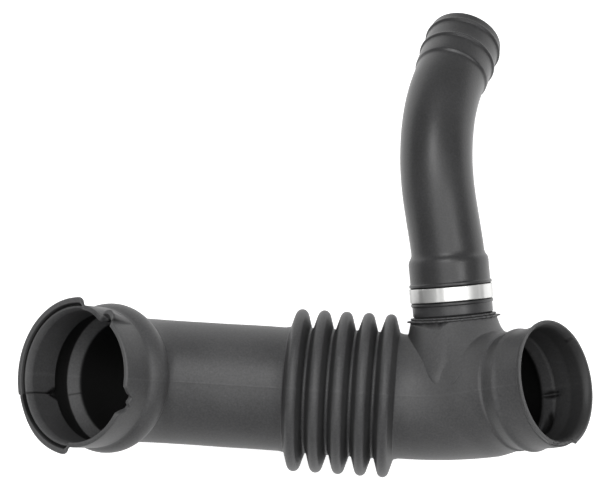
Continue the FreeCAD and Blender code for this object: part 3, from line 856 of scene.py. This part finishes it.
def band_metal(group):
    """Pressed steel of the band: bright, a little uneven, with faint scuffs in colour and roughness, and a
    painted dark reflection down the middle of each crimped flat.
    """
    material = bpy.data.materials.new("band_metal")
    material.use_nodes = True
    tree = material.node_tree
    shader = tree.nodes["Principled BSDF"]
    shader.inputs["Metallic"].default_value = 1.0
    skin = tree.nodes.new("ShaderNodeGroup")
    skin.node_tree = group
    colour = tree.nodes.new("ShaderNodeMix")
    colour.data_type = "RGBA"
    colour.inputs["A"].default_value = (0.7, 0.7, 0.69, 1)
    colour.inputs["B"].default_value = (0.16, 0.16, 0.157, 1)
    # Mix towards the dark colour: random stains from the clouds, and a painted dark reflection at each
    # flat's middle.
    stain_and_reflection = math_node(tree, "ADD", math_node(tree, "MULTIPLY", mask_value(tree, "flat_dark_reflection"), 0.5), 0.35)
    tree.links.new(math_node(tree, "MULTIPLY", stain_and_reflection, skin.outputs["Cloud"]), colour.inputs["Factor"])
    tree.links.new(colour.outputs["Result"], shader.inputs["Base Color"])
    gloss = tree.nodes.new("ShaderNodeMapRange")
    gloss.inputs["To Min"].default_value = 0.34
    gloss.inputs["To Max"].default_value = 0.56
    tree.links.new(skin.outputs["Grain"], gloss.inputs["Value"])
    tree.links.new(gloss.outputs["Result"], shader.inputs["Roughness"])
    return material


def lit_floor():
    """White floor that keeps the shadow, with a little of its own light where a camera or mirror sees it."""
    size = 3.0
    mesh = bpy.data.meshes.new("floor")
    corners = [(-size, -size, 0), (size, -size, 0), (size, size, 0), (-size, size, 0)]
    mesh.from_pydata(corners, [], [(0, 1, 2, 3)])
    material = bpy.data.materials.new("floor_white")
    material.use_nodes = True
    tree = material.node_tree
    shader = tree.nodes["Principled BSDF"]
    shader.inputs["Base Color"].default_value = (0.86, 0.86, 0.86, 1)
    shader.inputs["Roughness"].default_value = 0.9
    shader.inputs["Specular IOR Level"].default_value = 0.1
    shader.inputs["Emission Color"].default_value = (1, 1, 1, 1)
    rays = tree.nodes.new("ShaderNodeLightPath").outputs
    seen = math_node(tree, "MAXIMUM", rays["Is Camera Ray"], rays["Is Glossy Ray"])
    seen = math_node(tree, "MAXIMUM", seen, rays["Is Transmission Ray"])
    tree.links.new(math_node(tree, "MULTIPLY", seen, 0.68), shader.inputs["Emission Strength"])
    mesh.materials.append(material)
    floor = bpy.data.objects.new("floor", mesh)
    bpy.context.collection.objects.link(floor)


def soft_lamp(name, place, target, size, power):
    """Square area lamp at a place, facing a target, in metres and watts."""
    data = bpy.data.lights.new(name, "AREA")
    data.size = size
    data.energy = power
    lamp = bpy.data.objects.new(name, data)
    back = unit(np.array(place) - np.array(target))
    right = unit(np.cross(Y if abs(back[1]) < 0.9 else X, back))
    up = np.cross(back, right)
    turn = np.eye(4)
    turn[:3, 0], turn[:3, 1], turn[:3, 2], turn[:3, 3] = right, up, back, place
    lamp.matrix_world = Matrix(turn.tolist())
    bpy.context.collection.objects.link(lamp)


def studio_light():
    """Broad soft lamp above, a smaller one towards the branch hose, a weak one right, and white surround."""
    soft_lamp("key", (-0.2, 0.66, 1.45), (0, -0.03, 0.05), 0.5, 7)
    soft_lamp("top", (0.0, 0.0, 1.7), (0, -0.03, 0.05), 1.5, 17)
    soft_lamp("side", (0.85, -0.1, 1.2), (0, -0.05, 0.05), 0.4, 5)
    world = bpy.data.worlds.new("surround")
    bpy.context.scene.world = world
    world.use_nodes = True
    world.node_tree.nodes["Background"].inputs["Color"].default_value = (1, 1, 1, 1)
    world.node_tree.nodes["Background"].inputs["Strength"].default_value = 0.42


def photo_camera():
    """Camera at the photo's viewing angle, one metre from the hose's plane.

    The rows of the turn are the camera's right, up and back in the hose's frame: X rises a little to
    the right, and the view is pitched so that it looks down past the branch hose. The origin's place in
    the picture, in pixels, sets where the camera stands.
    """
    distance, scale = 1000.0, 0.56
    swing, slant, pitch = math.radians(5.2), math.radians(3.2), math.radians(-5.0)
    picture_width, picture_height = 613, 497
    origin_across, origin_down = 342.5, 392.6
    x_seen = np.array([math.cos(swing) * math.cos(slant), -math.cos(swing) * math.sin(slant),
                       math.sin(swing)])
    y_seen = np.array([math.sin(slant), math.cos(slant), 0])
    z_seen = unit(np.cross(x_seen, y_seen))
    y_seen = np.cross(z_seen, x_seen)
    y_tilted = math.cos(pitch) * y_seen + math.sin(pitch) * z_seen
    z_tilted = -math.sin(pitch) * y_seen + math.cos(pitch) * z_seen
    turn = np.stack([x_seen, y_tilted, z_tilted], axis=1)
    middle = np.array([(origin_across - picture_width / 2) * scale,
                       -(origin_down - picture_height / 2) * scale, 0])
    place = turn.T @ (np.array([0, 0, distance]) - middle)
    data = bpy.data.cameras.new("photo_camera")
    data.sensor_width = 36
    data.lens = 36 * distance / scale / picture_width
    data.clip_start, data.clip_end = 0.05, 20
    camera = bpy.data.objects.new("photo_camera", data)
    stand = np.eye(4)
    stand[:3, :3] = turn.T
    stand[:3, 3] = (place + hose_origin) * MM
    camera.matrix_world = Matrix(stand.tolist())
    bpy.context.collection.objects.link(camera)
    bpy.context.scene.camera = camera


skin = moulded_skin_group()
duct_rubber = rubber("duct_rubber", (0.028, 0.028, 0.029), (0.066, 0.066, 0.067), 0.52, 0.35, skin)
branch_rubber = rubber("branch_rubber", (0.014, 0.014, 0.0145), (0.034, 0.034, 0.035), 0.38, 0.4, skin)
duct_shell(duct_rubber)
tee_neck(duct_rubber)
branch_tube(branch_rubber)
crimp_band(band_metal(skin))
lit_floor()
studio_light()
photo_camera()
bpy.context.scene.view_settings.view_transform = "Standard"
